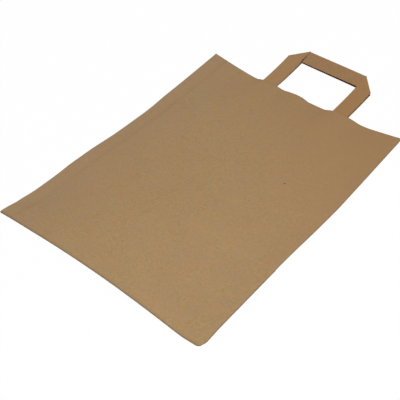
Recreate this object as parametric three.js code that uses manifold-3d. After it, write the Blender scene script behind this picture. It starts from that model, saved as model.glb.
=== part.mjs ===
import * as THREE from 'three';
import { mergeVertices } from 'three/addons/utils/BufferGeometryUtils.js';
import Module from 'manifold-3d';

// A flat handle paper bag, folded flat as it is stored and lying on its front panel.
// Lengths are in millimetres. While it is made, x runs across the bag from its middle,
// y from the folded bottom edge to the mouth, and z up from the table.
// The bag is one sheet: a tube with two gussets, whose lower end is folded into a
// rectangular bottom and turned up under the front panel. All of its layers are here.

// Driving dimensions of the bag
const WIDTH = 260;
const GUSSET_DEPTH = 110;
const HEIGHT = 350;
const PAPER = 0.15;
const LAYER_GAP = 0.15;
const SIDE_SEAM_LAP = 17;
const BOTTOM_LAP = 20;

// Driving dimensions of the two handles and of the patches that hold them
const HANDLE_WIDTH = 119;
const TAPE_WIDTH = 20;
const TAPE_THICKNESS = 0.5;
const HANDLE_OFFSET = 1.8;
const HANDLE_REACH = 52;
const LEG_INSIDE = 44;
const FOLD_GAP = 0.1;
const PATCH_WIDTH = 142;
const PATCH_DEPTH = 50;
const PATCH_THICKNESS = 0.15;
const PATCH_BELOW_MOUTH = 2;
const GLUE_LINE = 0.25;
const PATCH_SPACE = 0.3;

// How the paper lies: each height is how far the paper stands off the table there,
// and each reach is how far along the paper that rise dies away.
const LEFT_MOUTH_CURL = { height: 9, across: 62, down: 125, power: 1.3 };
const RIGHT_MOUTH_CURL = { height: 6.8, across: 50, down: 115, power: 1.1 };
const LEFT_BOTTOM_CURL = { height: 1.7, across: 34, up: 44, power: 1 };
const RIGHT_BOTTOM_CURL = { height: 3, across: 26, up: 34, power: 1 };
const BOTTOM_BOW = { height: 5, middle: -18, across: 100, up: 160 };
const SETTLE_LENGTH = 68;
const PLATEAU_RUN_OUT = 80;
const RIGHT_LEG_BULGE = { height: 1.8, across: 20, down: 70 };
const SAG_BETWEEN_LEGS = { middle: 17, across: 20 };
const UPPER_HANDLE_LIFT = 10.6;
const LOWER_HANDLE_LIFT = 8.6;
const LIFT_AT_MOUTH = 0.4;

// How finely the paper bends, and how near two points count as one
const GRID_STEP = 20;
const WELD = 0.004;

// Sizes that follow from these
const NOSE = PAPER + LAYER_GAP / 2;
const SIDE = WIDTH / 2 - NOSE;
const HALF_DEPTH = GUSSET_DEPTH / 2;
const HALF_LAP = BOTTOM_LAP / 2;
const GUSSET_EDGE = SIDE - HALF_DEPTH;
const FLAP_EDGE = GUSSET_EDGE - HALF_LAP;
const PITCH = PAPER + LAYER_GAP;
const FRONT_FLAP_EDGE = GUSSET_DEPTH - (SIDE - FLAP_EDGE);
const BACK_FLAP_EDGE = SIDE - FLAP_EDGE;
const HANDLE_TOP = HEIGHT + HANDLE_REACH + TAPE_WIDTH;

// A bend that goes around other folds stands out by a bulge, one pitch more for each
// fold inside it, and its shoulders slope so that they miss the layers next to them.
const INNER_BULGE = 2 * PITCH;
const OUTER_BULGE = 3 * PITCH;
const BOTTOM_BULGE = 4 * PITCH;
const SHOULDER = LAYER_GAP * 0.6;
const GLUE_INSET = 2 * PITCH;

// The layers of the folded bag, counted up from the table
const LAYER = {
  backFlap: 0,
  backTriangle: 1,
  frontFlap: 2,
  frontTriangle: 3,
  sideFlap: 4,
  middleTriangle: 5,
  cornerTriangle: 6,
  frontFoot: 7,
  front: 8,
  lowerGusset: 9,
  upperGusset: 10,
  back: 11,
};
const layerBottom = (layer) => layer * PITCH;
const layerTop = (layer) => layerBottom(layer) + PAPER;
const layered = (corners, name) => ({
  corners,
  bottom: layerBottom(LAYER[name]),
  top: layerTop(LAYER[name]),
});

const rectangle = (x0, y0, x1, y1) => [[x0, y0], [x1, y0], [x1, y1], [x0, y1]];

const wasm = await Module();
wasm.setup();

// A closed three.js geometry as a solid that can be joined to others
function solidFrom(geometry) {
  geometry.deleteAttribute('normal');
  geometry.deleteAttribute('uv');
  const merged = mergeVertices(geometry, WELD / 40);
  const vertProperties = merged.attributes.position.array;
  const triVerts = merged.index.array;
  return new wasm.Manifold(new wasm.Mesh({ numProp: 3, vertProperties, triVerts }));
}

// A flat strip glued to the sheet: an outline of [x, y] corners, between two heights
function strip(corners, bottom, top) {
  const outline = new THREE.Shape(corners.map(([x, y]) => new THREE.Vector2(x, y)));
  const depth = top - bottom;
  const geometry = new THREE.ExtrudeGeometry(outline, { depth, bevelEnabled: false });
  geometry.translate(0, 0, bottom);
  return solidFrom(geometry);
}

// The bend of a crease, from the upper panel down to the lower one, as steps out from the
// crease line and heights. A bend around other folds is a trapezoid that clears them.
function bendBetween(upper, lower, bulge) {
  const [top, bottom] = [upper.top, lower.bottom];
  if (bulge === 0) {
    return {
      outside: [[0, top], [NOSE, (top + bottom) / 2], [0, bottom]],
      inside: [[0, upper.bottom], [0, lower.top]],
    };
  }
  const thickness = upper.top - upper.bottom;
  const clear = bulge - thickness;
  return {
    outside: [[0, top], [bulge, top - SHOULDER], [bulge, bottom + SHOULDER], [0, bottom]],
    inside: [[0, upper.bottom], [clear, upper.bottom - SHOULDER],
      [clear, lower.top + SHOULDER], [0, lower.top]],
  };
}

// The edges of a panel, and whether one of them is also an edge of another panel. An edge
// on the cut mouth is never a crease.
const edgesOf = ({ corners }) => corners.map((corner, index) => (
  [corner, corners[(index + 1) % corners.length]]));
const isCreaseTo = (panel) => ([start, end]) => {
  const same = (first, second) => Math.hypot(first[0] - second[0], first[1] - second[1]) < WELD;
  if (start[1] === HEIGHT && end[1] === HEIGHT) return false;
  return edgesOf(panel).some(([first, last]) => (
    (same(first, start) && same(last, end)) || (same(first, end) && same(last, start))));
};

// The faces of one panel: its two sides, and a cut edge wherever no crease leads on
function panelFaces(panel, partners) {
  const at = ([x, y], height) => [x, y, height];
  const cutEdges = edgesOf(panel).filter((edge) => (
    !partners.some((partner) => isCreaseTo(partner)(edge))));
  return [
    panel.corners.map((corner) => at(corner, panel.top)),
    panel.corners.map((corner) => at(corner, panel.bottom)).reverse(),
    ...cutEdges.map(([start, end]) => [at(start, panel.bottom), at(end, panel.bottom),
      at(end, panel.top), at(start, panel.top)]),
  ];
}

// The faces of one crease: the outside and the inside of its bend, and its two ends
function creaseFaces(upper, lower, bulge) {
  const [start, end] = edgesOf(upper).find(isCreaseTo(lower));
  const length = Math.hypot(end[0] - start[0], end[1] - start[1]);
  const outward = [(end[1] - start[1]) / length, (start[0] - end[0]) / length];
  const place = (corner, [step, height]) => (
    [corner[0] + outward[0] * step, corner[1] + outward[1] * step, height]);
  const wall = (from, to) => [place(start, to), place(end, to), place(end, from),
    place(start, from)];
  const { outside, inside } = bendBetween(upper, lower, bulge);
  const profile = [...outside, ...[...inside].reverse()];
  return [
    ...outside.slice(1).map((to, index) => wall(outside[index], to)),
    ...inside.slice(1).map((to, index) => wall(inside[index], to).reverse()),
    profile.map((point) => place(end, point)),
    profile.map((point) => place(start, point)).reverse(),
  ];
}

// The triangles of a flat face, as lists of its corners' numbers
function flatTriangles(points) {
  const [first, second, third] = points;
  const { normal } = new THREE.Plane().setFromCoplanarPoints(first, second, third);
  const across = second.clone().sub(first).normalize();
  const up = normal.clone().cross(across);
  const outline = points.map((point) => new THREE.Vector2(point.dot(across), point.dot(up)));
  if (THREE.ShapeUtils.isClockWise(outline)) {
    outline.forEach((point) => { point.y = -point.y; });
  }
  const convex = outline.every((point, index) => {
    const next = outline[(index + 1) % outline.length];
    const after = outline[(index + 2) % outline.length];
    return next.clone().sub(point).cross(after.clone().sub(next)) > -WELD;
  });
  return convex
    ? fanOf(points, points.map((_, index) => index))
    : THREE.ShapeUtils.triangulateShape(outline, []);
}

// One folded sheet as a closed solid. Each panel is an outline of [x, y] corners, walked
// anticlockwise, between a bottom and a top height. Each crease names an upper and a lower
// panel that share an edge, and how far its bend bulges around the folds between them.
function foldedSheet(panels, creases) {
  const partnersOf = (name) => creases
    .filter((crease) => crease.upper === name || crease.lower === name)
    .map((crease) => panels[crease.upper === name ? crease.lower : crease.upper]);
  const faces = [
    ...Object.entries(panels).flatMap(([name, panel]) => panelFaces(panel, partnersOf(name))),
    ...creases.flatMap(({ upper, lower, bulge = 0 }) => (
      creaseFaces(panels[upper], panels[lower], bulge))),
  ];
  const positions = faces.flatMap((face) => {
    const points = face.map((point) => new THREE.Vector3(...point));
    return flatTriangles(points).flat().flatMap((corner) => points[corner].toArray());
  });
  const geometry = new THREE.BufferGeometry();
  geometry.setAttribute('position', new THREE.Float32BufferAttribute(positions, 3));
  return solidFrom(geometry);
}

// The panels of one gusset and of its share of the bottom. side is 1 or -1.
function gussetPanels(side) {
  const outlines = {
    upperGusset: [[GUSSET_EDGE, HALF_DEPTH], [SIDE, 0], [SIDE, HEIGHT], [GUSSET_EDGE, HEIGHT]],
    lowerGusset: [[GUSSET_EDGE, HALF_DEPTH], [SIDE, HALF_DEPTH], [SIDE, HEIGHT],
      [GUSSET_EDGE, HEIGHT]],
    cornerTriangle: [[GUSSET_EDGE, HALF_DEPTH], [SIDE, HALF_DEPTH], [SIDE, GUSSET_DEPTH]],
    middleTriangle: [[GUSSET_EDGE, HALF_DEPTH], [SIDE, 0], [SIDE, GUSSET_DEPTH]],
    sideFlap: rectangle(FLAP_EDGE, 0, SIDE, GUSSET_DEPTH),
    frontTriangle: [[FLAP_EDGE, FRONT_FLAP_EDGE], [SIDE, GUSSET_DEPTH],
      [FLAP_EDGE, GUSSET_DEPTH]],
    backTriangle: [[FLAP_EDGE, 0], [SIDE, 0], [FLAP_EDGE, BACK_FLAP_EDGE]],
  };
  const sideName = side > 0 ? 'right' : 'left';
  return Object.fromEntries(Object.entries(outlines).map(([name, outline]) => {
    const corners = outline.map(([x, y]) => [side * x, y]);
    if (side < 0) corners.reverse();
    return [`${sideName} ${name}`, layered(corners, name)];
  }));
}

// The creases of one gusset. The gusset sinks between the panels, and the bottom's
// triangles turn around its lower end.
function gussetCreases(side) {
  const own = (name) => `${side > 0 ? 'right' : 'left'} ${name}`;
  return [
    { upper: 'back', lower: own('upperGusset') },
    { upper: own('upperGusset'), lower: own('lowerGusset') },
    { upper: own('lowerGusset'), lower: 'front' },
    { upper: 'frontFoot', lower: own('cornerTriangle') },
    { upper: own('lowerGusset'), lower: own('cornerTriangle'), bulge: INNER_BULGE },
    { upper: own('cornerTriangle'), lower: own('middleTriangle') },
    { upper: own('upperGusset'), lower: own('middleTriangle'), bulge: OUTER_BULGE },
    { upper: own('middleTriangle'), lower: own('sideFlap') },
    { upper: own('sideFlap'), lower: own('frontTriangle') },
    { upper: own('sideFlap'), lower: own('backTriangle'), bulge: INNER_BULGE },
    { upper: own('frontTriangle'), lower: 'frontFlap' },
    { upper: own('backTriangle'), lower: 'backFlap' },
  ];
}

// The whole bag in its flat layers, before the paper takes its lie
function foldedBag() {
  const panels = {
    back: layered(rectangle(-SIDE, 0, SIDE, HEIGHT), 'back'),
    front: layered(rectangle(-SIDE, HALF_DEPTH, SIDE, HEIGHT), 'front'),
    frontFoot: layered(rectangle(-SIDE, HALF_DEPTH, SIDE, GUSSET_DEPTH), 'frontFoot'),
    frontFlap: layered([[-FLAP_EDGE, FRONT_FLAP_EDGE], [FLAP_EDGE, FRONT_FLAP_EDGE],
      [SIDE, GUSSET_DEPTH], [-SIDE, GUSSET_DEPTH]], 'frontFlap'),
    backFlap: layered([[-SIDE, 0], [SIDE, 0], [FLAP_EDGE, BACK_FLAP_EDGE],
      [-FLAP_EDGE, BACK_FLAP_EDGE]], 'backFlap'),
    ...gussetPanels(1),
    ...gussetPanels(-1),
  };
  const creases = [
    { upper: 'front', lower: 'frontFoot' },
    { upper: 'frontFoot', lower: 'frontFlap', bulge: OUTER_BULGE },
    { upper: 'back', lower: 'backFlap', bulge: BOTTOM_BULGE },
    ...gussetCreases(1),
    ...gussetCreases(-1),
  ];
  const bite = PAPER / 3;
  const sideSeam = strip(
    rectangle(-SIDE + GLUE_INSET, GLUE_INSET, -SIDE + SIDE_SEAM_LAP, HEIGHT - GLUE_INSET),
    panels.back.top - bite, panels.back.top + PAPER);
  const bottomGlue = strip(
    rectangle(-FLAP_EDGE + GLUE_INSET, FRONT_FLAP_EDGE + GLUE_INSET,
      FLAP_EDGE - GLUE_INSET, BACK_FLAP_EDGE - GLUE_INSET),
    panels.backFlap.top - bite, panels.frontFlap.bottom + bite);
  return foldedSheet(panels, creases).add(sideSeam).add(bottomGlue);
}

// The lines of a grid over the bag and its handles. Every piece is creased along the
// same lines and bends only there, so layers that lie together stay parallel.
function evenly(start, end, step) {
  const count = Math.max(1, Math.round((end - start) / step));
  return Array.from({ length: count }, (_, index) => start + ((end - start) * index) / count);
}
const COLUMNS = [...evenly(-SIDE, SIDE, GRID_STEP), SIDE];
const ROWS = [
  ...evenly(0, GUSSET_DEPTH, GRID_STEP),
  ...evenly(GUSSET_DEPTH, HEIGHT, GRID_STEP),
  ...evenly(HEIGHT, HANDLE_TOP, GRID_STEP),
  HANDLE_TOP,
];

const between = (value, low, high) => Math.min(high, Math.max(low, value));
const smooth = (value) => {
  const share = between(value, 0, 1);
  return share * share * (3 - 2 * share);
};
const dome = (offset, reach) => Math.max(0, 1 - (offset / reach) ** 2);

// How far a curled corner stands up at a distance across and along from its tip
function curl(shape, across, along) {
  const run = shape.down ?? shape.up;
  const share = Math.max(0, 1 - across / shape.across - along / run);
  return shape.height * share ** shape.power;
}

// Height that the table side of the bag gains or loses, the same for all of its layers
function lie(x, y) {
  const fromMouth = Math.max(0, HEIGHT - y);
  const corners = curl(LEFT_MOUTH_CURL, x + SIDE, fromMouth)
    + curl(RIGHT_MOUTH_CURL, SIDE - x, fromMouth)
    + curl(LEFT_BOTTOM_CURL, x + SIDE, Math.max(0, y))
    + curl(RIGHT_BOTTOM_CURL, SIDE - x, Math.max(0, y));
  const bow = BOTTOM_BOW.height * dome(x - BOTTOM_BOW.middle, BOTTOM_BOW.across)
    * (1 - smooth(y / BOTTOM_BOW.up));
  const settled = smooth((y - GUSSET_DEPTH) / SETTLE_LENGTH) * layerBottom(LAYER.front);
  return corners + bow - settled;
}

// The height of the handles and patches together, and how far that is more than the room
// between the front and back panels
const STACK_HEIGHT = 4 * GLUE_LINE + 2 * TAPE_THICKNESS + 2 * PATCH_THICKNESS + PATCH_SPACE;
const STACK_PUSH = STACK_HEIGHT - (layerBottom(LAYER.back) - layerTop(LAYER.front));
const LEG_MIDDLE = (HANDLE_WIDTH - TAPE_WIDTH) / 2;

// Share of its full droop that the middle takes between the legs, where there is no tape
function droop(x, y) {
  const legsEnd = HEIGHT - LEG_INSIDE;
  const across = Math.sqrt(dome(x - SAG_BETWEEN_LEGS.middle, SAG_BETWEEN_LEGS.across));
  return across * (1 - smooth((legsEnd - y) / GRID_STEP));
}
const DROOP_PER_TAPE = TAPE_THICKNESS + GLUE_LINE;

// How far the back panel stands up over the handles and patches inside the mouth
function push(x, y) {
  const flatEnd = HEIGHT - PATCH_BELOW_MOUTH - PATCH_DEPTH - GRID_STEP;
  const flatSide = PATCH_WIDTH / 2 + GRID_STEP;
  const along = 1 - smooth((flatEnd - y) / PLATEAU_RUN_OUT);
  const across = 1 - smooth((Math.abs(x) - flatSide) / (SIDE - flatSide));
  const rightLeg = HANDLE_OFFSET + LEG_MIDDLE;
  const bulge = RIGHT_LEG_BULGE.height * dome(x - rightLeg, RIGHT_LEG_BULGE.across)
    * (1 - smooth((HEIGHT - y) / RIGHT_LEG_BULGE.down));
  return STACK_PUSH * along * across - 2 * DROOP_PER_TAPE * droop(x, y) + bulge;
}

// Height that a handle gains beyond the mouth
const handleRise = (lift) => (x, y) => {
  const share = between((y - HEIGHT) / (HANDLE_TOP - HEIGHT), 0, 1);
  return lift * (LIFT_AT_MOUTH * share + (1 - LIFT_AT_MOUTH) * share * share);
};

// The place of a value between the lines of the grid
function cellOf(lines, value) {
  const last = lines.length - 2;
  let index = 0;
  while (index < last && value >= lines[index + 1]) index += 1;
  return index;
}

// A height function made flat within each half cell of the grid
function faceted(height) {
  return (x, y) => {
    const column = cellOf(COLUMNS, x);
    const row = cellOf(ROWS, y);
    const [x0, x1] = [COLUMNS[column], COLUMNS[column + 1]];
    const [y0, y1] = [ROWS[row], ROWS[row + 1]];
    const u = (x - x0) / (x1 - x0);
    const v = (y - y0) / (y1 - y0);
    const near = height(x0, y0);
    const far = height(x1, y1);
    const turn = u > v ? height(x1, y0) : height(x0, y1);
    return u > v
      ? near + u * (turn - near) + v * (far - turn)
      : near + v * (turn - near) + u * (far - turn);
  };
}

// Where joined solids leave corners almost on one another or on an edge, this welds them,
// and gives the corner of each face without height to the face across its longest edge.
function cleanFaces(points, faces) {
  const keptCorner = points.map((point, index) => {
    const twin = points.findIndex((other) => other.distanceTo(point) < WELD);
    return Math.min(twin, index);
  });
  const welded = faces.map((corners) => corners.map((corner) => keptCorner[corner]))
    .filter((corners) => new Set(corners).size === corners.length);
  const thin = [];
  const kept = [];
  for (const corners of welded) {
    const lengths = corners.map((corner, index) => (
      points[corner].distanceTo(points[corners[(index + 1) % 3]])));
    const area = new THREE.Triangle(...corners.map((corner) => points[corner])).getArea();
    const longest = Math.max(...lengths);
    if ((2 * area) / longest > WELD) {
      kept.push([...corners]);
    } else {
      const place = lengths.indexOf(longest);
      thin.push([0, 1, 2].map((turn) => corners[(place + turn) % 3]));
    }
  }
  const ownerOf = (list, start, end) => list.find((corners) => corners.some((corner, index) => (
    corner === start && corners[(index + 1) % corners.length] === end)));
  while (thin.length > 0) {
    const [start, end, middle] = thin.shift();
    const owner = ownerOf(kept, end, start) ?? ownerOf(thin, end, start);
    owner.splice(owner.indexOf(end) + 1, 0, middle);
  }
  return kept;
}

// Cuts every flat face that a line crosses in two. offsetFor gives a face's own measure of
// how far a point lies from its line, so that the diagonals can differ from cell to cell.
function cutFaces(points, faces, offsetFor, tolerance) {
  const cuts = new Map();
  const cutPoint = (a, b, offset) => {
    const [first, second] = a < b ? [a, b] : [b, a];
    const key = `${first} ${second}`;
    if (!cuts.has(key)) {
      const [start, end] = [offset(points[first]), offset(points[second])];
      cuts.set(key, points.length);
      points.push(points[first].clone().lerp(points[second], start / (start - end)));
    }
    return cuts.get(key);
  };
  return faces.flatMap((corners) => {
    const offset = offsetFor(corners);
    const signs = corners.map((corner) => {
      const value = offset(points[corner]);
      return Math.abs(value) < tolerance ? 0 : Math.sign(value);
    });
    if (Math.max(...signs) <= 0 || Math.min(...signs) >= 0) return [corners];
    const count = corners.length;
    const sides = signs.map((sign, index) => {
      if (sign !== 0) return sign;
      let back = index;
      while (signs[back] === 0) back = (back + count - 1) % count;
      const next = signs[(index + 1) % count];
      return next === 0 || next === signs[back] ? signs[back] : 0;
    });
    const [ahead, behind] = [[], []];
    corners.forEach((corner, index) => {
      const next = (index + 1) % count;
      if (sides[index] >= 0) ahead.push(corner);
      if (sides[index] <= 0) behind.push(corner);
      if (sides[index] * sides[next] < 0) {
        const cut = cutPoint(corner, corners[next], offset);
        ahead.push(cut);
        behind.push(cut);
      }
    });
    return [ahead, behind];
  });
}

// The turn that an outline makes at a corner, as a vector along the face's normal
function turnAt(points, before, corner, after) {
  const into = points[corner].clone().sub(points[before]);
  const out = points[after].clone().sub(points[corner]);
  return into.cross(out);
}

// The corners before and after a place in an outline
const neighbours = (corners, place) => [
  corners[(place + corners.length - 1) % corners.length],
  corners[(place + 1) % corners.length],
];

function normalOf(points, corners) {
  const sum = new THREE.Vector3();
  corners.forEach((corner, place) => {
    const [before, after] = neighbours(corners, place);
    sum.add(turnAt(points, before, corner, after));
  });
  return sum.normalize();
}

// The face that two faces make together across the edge after a place in the first one.
// There is none where they don't share that edge or where they would leave a hollow corner.
function joinedAcross(points, face, place, other) {
  const flatness = 1e-7;
  const [a, b] = [face[place], face[(place + 1) % face.length]];
  const start = other.indexOf(a);
  if (start < 0 || neighbours(other, start)[0] !== b) return null;
  const rest = [...other.slice(start), ...other.slice(0, start)];
  const kept = [...face.slice(place + 1), ...face.slice(0, place + 1)];
  const together = [...kept, ...rest.slice(1, -1)];
  if (new Set(together).size < together.length) return null;
  const normal = normalOf(points, face);
  const convexAt = (seam) => {
    const [before, after] = neighbours(together, seam);
    return turnAt(points, before, together[seam], after).dot(normal) > -flatness;
  };
  return convexAt(kept.length - 1) && convexAt(0) ? together : null;
}

// Joins neighbouring faces that lie in one plane and one half cell, wherever the two
// together are convex
function joinFaces(points, faces, halfCellOf) {
  const roundedTo = 100;
  const groups = Map.groupBy(faces, (corners) => {
    const normal = normalOf(points, corners);
    const level = normal.dot(points[corners[0]]);
    const plane = [normal.x, normal.y, normal.z, level];
    return `${plane.map((value) => Math.round(value * roundedTo))} ${halfCellOf(corners)}`;
  });
  return [...groups.values()].flatMap((group) => {
    const open = [...group];
    const joined = [];
    while (open.length > 0) {
      let face = open.pop();
      let place = 0;
      while (place < face.length) {
        const [grown, used] = joinedWithOne(points, face, place, open);
        if (grown) {
          open.splice(used, 1);
          face = grown;
          place = 0;
        } else {
          place += 1;
        }
      }
      joined.push(face);
    }
    return joined;
  });
}

// The face grown by the first of the open faces that fits at a place, and which one it is
function joinedWithOne(points, face, place, open) {
  for (const [index, other] of open.entries()) {
    const grown = joinedAcross(points, face, place, other);
    if (grown) return [grown, index];
  }
  return [null, -1];
}

// Drops the corners that no longer turn: those with two faces that both run straight on
function dropStraightCorners(points, faces) {
  const users = new Map();
  faces.forEach((corners) => corners.forEach((corner) => {
    users.set(corner, [...(users.get(corner) ?? []), corners]);
  }));
  const straight = (corners, corner) => {
    const [before, after] = neighbours(corners, corners.indexOf(corner));
    const span = points[before].distanceTo(points[after]);
    const bend = turnAt(points, before, corner, after).length() / span;
    return corners.length > 3 && bend < WELD / 2;
  };
  for (const [corner, around] of users) {
    if (around.length === 2 && around.every((corners) => straight(corners, corner))) {
      around.forEach((corners) => corners.splice(corners.indexOf(corner), 1));
    }
  }
}

// The triangles of a convex face: a fan from its best corner, or, where corners in a row
// would leave slivers, a fan around its centre
function fanOf(points, corners) {
  const fanFrom = (apex, rim) => rim.slice(1).map((corner, index) => [apex, rim[index], corner]);
  const quality = (triangle) => {
    const [a, b, c] = triangle.map((corner) => points[corner]);
    const longest = Math.max(a.distanceTo(b), b.distanceTo(c), c.distanceTo(a));
    return new THREE.Triangle(a, b, c).getArea() / (longest * longest);
  };
  const fans = corners.map((corner, place) => fanFrom(corner,
    [...corners.slice(place + 1), ...corners.slice(0, place)]));
  const worst = (fan) => Math.min(...fan.map(quality));
  const best = fans.reduce((kept, fan) => (worst(fan) > worst(kept) ? fan : kept));
  const sliver = 1e-4;
  if (corners.length === 3 || worst(best) > sliver) return best;
  const centre = new THREE.Vector3();
  corners.forEach((corner) => centre.addScaledVector(points[corner], 1 / corners.length));
  points.push(centre);
  return fanFrom(points.length - 1, [...corners, corners[0]]);
}

// The corners and the triangles of a solid
function pointsAndFaces(solid) {
  const { vertProperties, triVerts, numProp } = solid.getMesh();
  const points = [];
  for (let start = 0; start < vertProperties.length; start += numProp) {
    points.push(new THREE.Vector3().fromArray(vertProperties, start));
  }
  const faces = [];
  for (let start = 0; start < triVerts.length; start += 3) {
    faces.push([...triVerts.slice(start, start + 3)]);
  }
  return [points, faces];
}

// The cell of the grid that a face lies in, and which side of the cell's diagonal
function cellAround(points, corners) {
  const centre = new THREE.Vector3();
  corners.forEach((corner) => centre.addScaledVector(points[corner], 1 / corners.length));
  const column = cellOf(COLUMNS, centre.x);
  const row = cellOf(ROWS, centre.y);
  const width = COLUMNS[column + 1] - COLUMNS[column];
  const length = ROWS[row + 1] - ROWS[row];
  const scale = (width * length) / Math.hypot(width, length);
  const offset = (point) => scale
    * ((point.x - COLUMNS[column]) / width - (point.y - ROWS[row]) / length);
  return { offset, name: `${column} ${row} ${Math.sign(offset(centre))}` };
}

// A solid bent to its lie: creased along the grid, then each corner moved to its height.
// Corners near a line count as on it, so that no crease leaves a sliver beside it.
function laid(solid, heightAt) {
  const nearLine = PAPER / 8;
  const nearDiagonal = 2 * PAPER;
  const [points, triangles] = pointsAndFaces(solid);
  let faces = cleanFaces(points, triangles);
  for (const column of COLUMNS) {
    faces = cutFaces(points, faces, () => (point) => point.x - column, nearLine);
  }
  for (const row of ROWS) {
    faces = cutFaces(points, faces, () => (point) => point.y - row, nearLine);
  }
  faces = cutFaces(points, faces, (corners) => cellAround(points, corners).offset, nearDiagonal);
  faces = joinFaces(points, faces, (corners) => cellAround(points, corners).name);
  dropStraightCorners(points, faces);
  const index = faces.flatMap((corners) => fanOf(points, corners)).flat();
  const raised = points.flatMap(({ x, y, z }) => [x, y, z + heightAt(x, y, z)]);
  const geometry = new THREE.BufferGeometry();
  geometry.setAttribute('position', new THREE.Float32BufferAttribute(raised, 3));
  geometry.setIndex(index);
  geometry.computeVertexNormals();
  return geometry;
}

// A handle: one flat tape of folded paper, with two legs and a bar, turned over at each
// corner along a 45 degree crease. The legs lie over the bar or under it.
function handleTape(legBottom, barBottom) {
  const outer = HANDLE_WIDTH / 2;
  const inner = outer - TAPE_WIDTH;
  const barEdge = HEIGHT + HANDLE_REACH;
  const legEnd = HEIGHT - LEG_INSIDE;
  const legOutline = (side) => {
    const corners = [[inner, legEnd], [outer, legEnd], [outer, barEdge],
      [inner, HANDLE_TOP]].map(([x, y]) => [side * x + HANDLE_OFFSET, y]);
    return side < 0 ? corners.reverse() : corners;
  };
  const barOutline = [[-outer, barEdge], [outer, barEdge], [inner, HANDLE_TOP],
    [-inner, HANDLE_TOP]].map(([x, y]) => [x + HANDLE_OFFSET, y]);
  const tape = (corners, bottom) => ({ corners, bottom, top: bottom + TAPE_THICKNESS });
  const panels = {
    rightLeg: tape(legOutline(1), legBottom),
    leftLeg: tape(legOutline(-1), legBottom),
    bar: tape(barOutline, barBottom),
  };
  const turn = (leg) => (legBottom > barBottom
    ? { upper: leg, lower: 'bar' } : { upper: 'bar', lower: leg });
  return foldedSheet(panels, [turn('rightLeg'), turn('leftLeg')]);
}

// A patch: the rectangle of paper that is glued over both legs of a handle
function patchSheet(bottom) {
  const top = HEIGHT - PATCH_BELOW_MOUTH;
  const half = PATCH_WIDTH / 2;
  const corners = rectangle(-half, top - PATCH_DEPTH, half, top);
  return strip(corners, bottom, bottom + PATCH_THICKNESS);
}

// Heights of the handles and patches in the stack between the front and back panels
const LOWER_LEG = layerTop(LAYER.front) + GLUE_LINE;
const LOWER_PATCH = LOWER_LEG + TAPE_THICKNESS + GLUE_LINE;
const UPPER_PATCH = LOWER_PATCH + PATCH_THICKNESS + PATCH_SPACE;
const UPPER_LEG = UPPER_PATCH + PATCH_THICKNESS + GLUE_LINE;
const TURN = TAPE_THICKNESS + FOLD_GAP;

const kraft = new THREE.MeshStandardMaterial({
  color: '#a58763',
  roughness: 0.85,
  metalness: 0,
});
const tapeKraft = new THREE.MeshStandardMaterial({
  color: '#9a7652',
  roughness: 0.8,
  metalness: 0,
});

const bag = new THREE.Group();
function addPiece(name, geometry, material) {
  const piece = new THREE.Mesh(geometry, material);
  piece.name = name;
  bag.add(piece);
}

const lieHere = faceted(lie);
const pushHere = faceted(push);
const droopHere = faceted(droop);
const upperRise = faceted(handleRise(UPPER_HANDLE_LIFT));
const lowerRise = faceted(handleRise(LOWER_HANDLE_LIFT));
const backPanelStarts = layerBottom(LAYER.back) - LAYER_GAP / 2;

addPiece('bag_body', laid(foldedBag(), (x, y, z) => (
  lieHere(x, y) + (z > backPanelStarts ? pushHere(x, y) : 0))), kraft);
addPiece('upper_handle', laid(handleTape(UPPER_LEG, UPPER_LEG - TURN), (x, y) => (
  lieHere(x, y) + upperRise(x, y))), tapeKraft);
addPiece('lower_handle', laid(handleTape(LOWER_LEG, LOWER_LEG + TURN), (x, y) => (
  lieHere(x, y) + lowerRise(x, y))), tapeKraft);
addPiece('upper_handle_patch', laid(patchSheet(UPPER_PATCH), (x, y) => (
  lieHere(x, y) - DROOP_PER_TAPE * droopHere(x, y))), kraft);
addPiece('lower_handle_patch', laid(patchSheet(LOWER_PATCH), (x, y) => (
  lieHere(x, y) - DROOP_PER_TAPE * droopHere(x, y))), kraft);

// The origin is on the table, under the middle of the bag and its handles
const reach = new THREE.Box3().setFromObject(bag);
const middle = reach.getCenter(new THREE.Vector3());
bag.position.set(-middle.x, -middle.y, -reach.min.z);

export default bag;
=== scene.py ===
# %% [markdown]
# A flat handle paper bag, lying folded flat on its front panel. The bag is one sheet of
# brown kraft paper with two gussets and a folded bottom, and it carries two flat tape
# handles under paper patches. The packed CAD model is loaded first as a fixed frame, so
# that each piece made here takes its place and its size from it.

# %% Load the frame
import math
from collections import namedtuple

import bmesh
import bpy
from mathutils import Matrix, Vector, noise


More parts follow.
